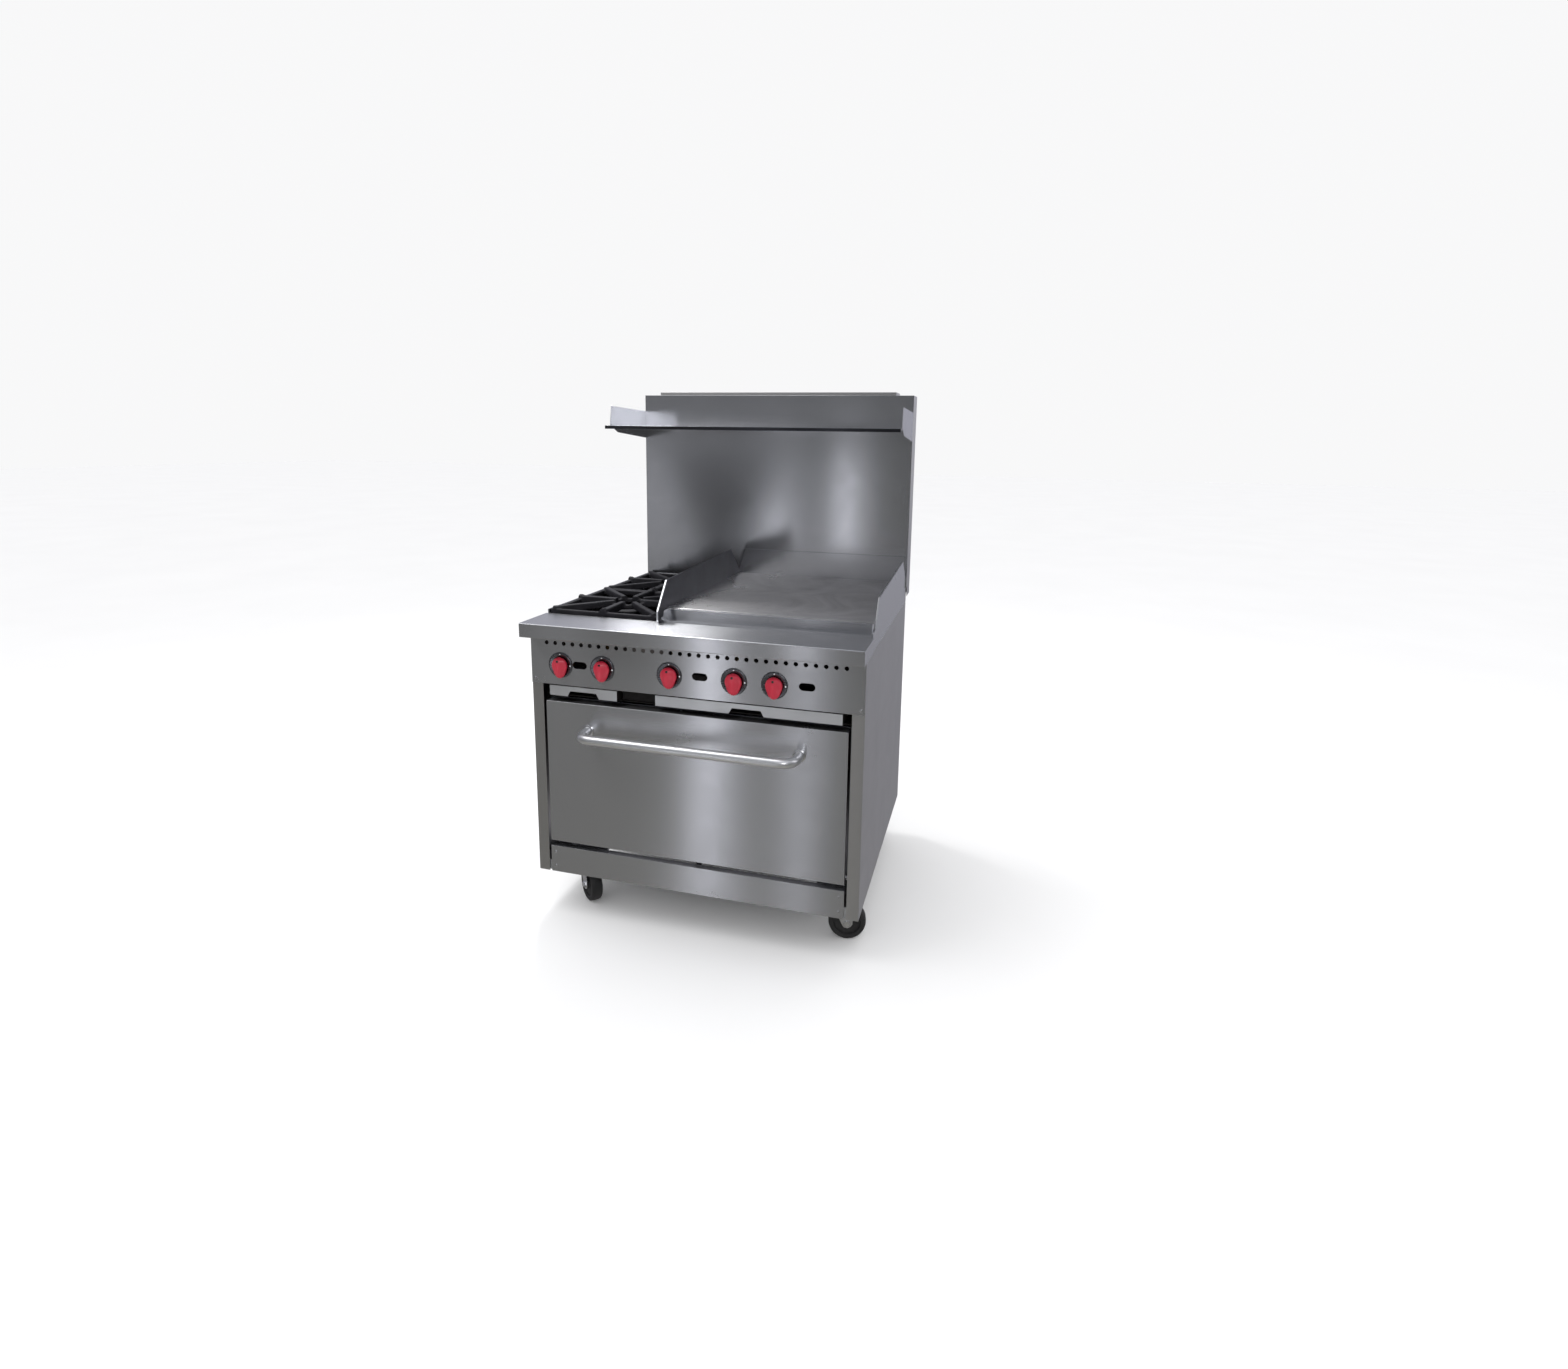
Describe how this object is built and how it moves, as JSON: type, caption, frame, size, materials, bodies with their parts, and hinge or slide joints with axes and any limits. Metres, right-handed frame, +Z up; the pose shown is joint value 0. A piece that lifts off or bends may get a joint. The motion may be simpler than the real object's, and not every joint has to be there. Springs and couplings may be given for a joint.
{
  "type": "commercial gas range",
  "caption": "Free-standing restaurant gas range with open burners beside a griddle, an oven with a drop-down door, pull-out crumb trays, a flue riser with a high shelf, and casters.",
  "frame": {"origin": "on the floor, under the centre of the whole range's bounding box", "axes": "+X to the cook's right, +Y towards the wall behind, +Z up; the oven door faces -Y"},
  "size_m": [0.9144, 0.9164, 1.479],
  "materials": {
    "stainless": "brushed stainless sheet, vertical grain",
    "steel_plate": "ground steel plate, seasoned",
    "galvanised": "zinc coated sheet",
    "cast_iron": "black cast iron, slightly rough",
    "brass": "machined brass",
    "enamel": "dark porcelain enamel",
    "chrome": "plated wire",
    "seal": "woven glass-fibre rope seal",
    "knob_red": "red moulded plastic, satin",
    "wheel": "black rubber, matt"
  },
  "bodies": {
    "cabinet": {"base_frame": "galvanised", "side_panel_left": "stainless", "side_panel_right": "stainless", "rear_panel": "galvanised", "front_ledge": "stainless", "control_panel": "stainless", "kick_panel": "stainless", "top_frame": "stainless", "tray_deck": "galvanised", "griddle_plate": "steel_plate", "griddle_splash_left": "steel_plate", "griddle_splash_right": "stainless", "griddle_splash_rear": "stainless", "grease_trough": "stainless", "burner_front": "cast_iron", "burner_rear": "cast_iron", "griddle_burner_left": "cast_iron", "griddle_burner_right": "cast_iron", "manifold_pipe": "steel_plate", "gas_regulator": "brass", "valve_burner_front": "brass", "valve_burner_rear": "brass", "valve_griddle_left": "brass", "valve_griddle_right": "brass", "oven_thermostat": "brass", "riser_front": "stainless", "riser_rear": "stainless", "shelf": "stainless", "shelf_bracket_left": "stainless", "shelf_bracket_right": "stainless", "oven_liner": "enamel", "oven_rack": "chrome", "oven_burner": "cast_iron", "door_hinge_rod": "galvanised", "caster_plate_front_left": "galvanised", "caster_plate_front_right": "galvanised", "caster_plate_rear_left": "galvanised", "caster_plate_rear_right": "galvanised"},
    "door": {"door_outer": "stainless", "door_inner": "stainless", "door_gasket": "seal", "door_handle": "stainless"},
    "drip_tray_left": {"drip_tray_left": "galvanised"},
    "drip_tray_right": {"drip_tray_right": "galvanised"},
    "grease_drawer": {"grease_drawer": "galvanised"},
    "grate_front": {"grate_front": "cast_iron"},
    "grate_rear": {"grate_rear": "cast_iron"},
    "knob_burner_front": {"knob_burner_front": "knob_red"},
    "knob_burner_rear": {"knob_burner_rear": "knob_red"},
    "knob_griddle_left": {"knob_griddle_left": "knob_red"},
    "knob_griddle_right": {"knob_griddle_right": "knob_red"},
    "knob_oven": {"knob_oven": "knob_red"},
    "caster_fork_front_left": {"caster_fork_front_left": "galvanised"},
    "caster_wheel_front_left": {"caster_wheel_front_left": "wheel"},
    "caster_fork_front_right": {"caster_fork_front_right": "galvanised"},
    "caster_wheel_front_right": {"caster_wheel_front_right": "wheel"},
    "caster_fork_rear_left": {"caster_fork_rear_left": "galvanised"},
    "caster_wheel_rear_left": {"caster_wheel_rear_left": "wheel"},
    "caster_fork_rear_right": {"caster_fork_rear_right": "galvanised"},
    "caster_wheel_rear_right": {"caster_wheel_rear_right": "wheel"}
  },
  "joints": [
    {"name": "door_hinge", "type": "hinge", "parent": "cabinet", "child": "door", "pos_m": [0, -0.36381, 0.232], "axis": [1, 0, 0], "range_deg": [0, 88], "stiffness_Nm_per_rad": 8, "springref_deg": -17.19},
    {"name": "drip_tray_left_slide", "type": "slide", "parent": "cabinet", "child": "drip_tray_left", "axis": [0, -1, 0], "range_m": [0, 0.45]},
    {"name": "drip_tray_right_slide", "type": "slide", "parent": "cabinet", "child": "drip_tray_right", "axis": [0, -1, 0], "range_m": [0, 0.45]},
    {"name": "grease_drawer_slide", "type": "slide", "parent": "cabinet", "child": "grease_drawer", "axis": [0, -1, 0], "range_m": [0, 0.24]},
    {"name": "grate_front_lift", "type": "slide", "parent": "cabinet", "child": "grate_front", "axis": [0, 0, 1], "range_m": [0, 0.15]},
    {"name": "grate_rear_lift", "type": "slide", "parent": "cabinet", "child": "grate_rear", "axis": [0, 0, 1], "range_m": [0, 0.15]},
    {"name": "knob_burner_front_turn", "type": "hinge", "parent": "cabinet", "child": "knob_burner_front", "pos_m": [-0.3665, -0.40381, 0.727], "axis": [0, -1, 0], "range_deg": [0, 90]},
    {"name": "knob_burner_rear_turn", "type": "hinge", "parent": "cabinet", "child": "knob_burner_rear", "pos_m": [-0.2443, -0.40381, 0.727], "axis": [0, -1, 0], "range_deg": [0, 90]},
    {"name": "knob_griddle_left_turn", "type": "hinge", "parent": "cabinet", "child": "knob_griddle_left", "pos_m": [-0.0551, -0.40381, 0.727], "axis": [0, -1, 0], "range_deg": [0, 90]},
    {"name": "knob_griddle_right_turn", "type": "hinge", "parent": "cabinet", "child": "knob_griddle_right", "pos_m": [0.1199, -0.40381, 0.727], "axis": [0, -1, 0], "range_deg": [0, 90]},
    {"name": "knob_oven_turn", "type": "hinge", "parent": "cabinet", "child": "knob_oven", "pos_m": [0.2258, -0.40381, 0.727], "axis": [0, -1, 0], "range_deg": [0, 270]},
    {"name": "swivel_front_left", "type": "hinge", "parent": "cabinet", "child": "caster_fork_front_left", "pos_m": [-0.37, -0.26881, 0.115], "axis": [0, 0, 1], "continuous": true},
    {"name": "swivel_front_right", "type": "hinge", "parent": "cabinet", "child": "caster_fork_front_right", "pos_m": [0.37, -0.26881, 0.115], "axis": [0, 0, 1], "continuous": true},
    {"name": "swivel_rear_left", "type": "hinge", "parent": "cabinet", "child": "caster_fork_rear_left", "pos_m": [-0.37, 0.27519, 0.115], "axis": [0, 0, 1], "continuous": true},
    {"name": "swivel_rear_right", "type": "hinge", "parent": "cabinet", "child": "caster_fork_rear_right", "pos_m": [0.37, 0.27519, 0.115], "axis": [0, 0, 1], "continuous": true},
    {"name": "wheel_front_left", "type": "hinge", "parent": "caster_fork_front_left", "child": "caster_wheel_front_left", "pos_m": [-0.34399, -0.29223, 0.0508], "axis": [0.6691, 0.7431, 0], "continuous": true},
    {"name": "wheel_front_right", "type": "hinge", "parent": "caster_fork_front_right", "child": "caster_wheel_front_right", "pos_m": [0.40447, -0.26273, 0.0508], "axis": [-0.1736, 0.9848, 0], "continuous": true},
    {"name": "wheel_rear_left", "type": "hinge", "parent": "caster_fork_rear_left", "child": "caster_wheel_rear_left", "pos_m": [-0.36094, 0.309, 0.0508], "axis": [-0.9659, 0.2588, 0], "continuous": true},
    {"name": "wheel_rear_right", "type": "hinge", "parent": "caster_fork_rear_right", "child": "caster_wheel_rear_right", "pos_m": [0.36094, 0.309, 0.0508], "axis": [-0.9659, -0.2588, 0], "continuous": true}
  ]
}
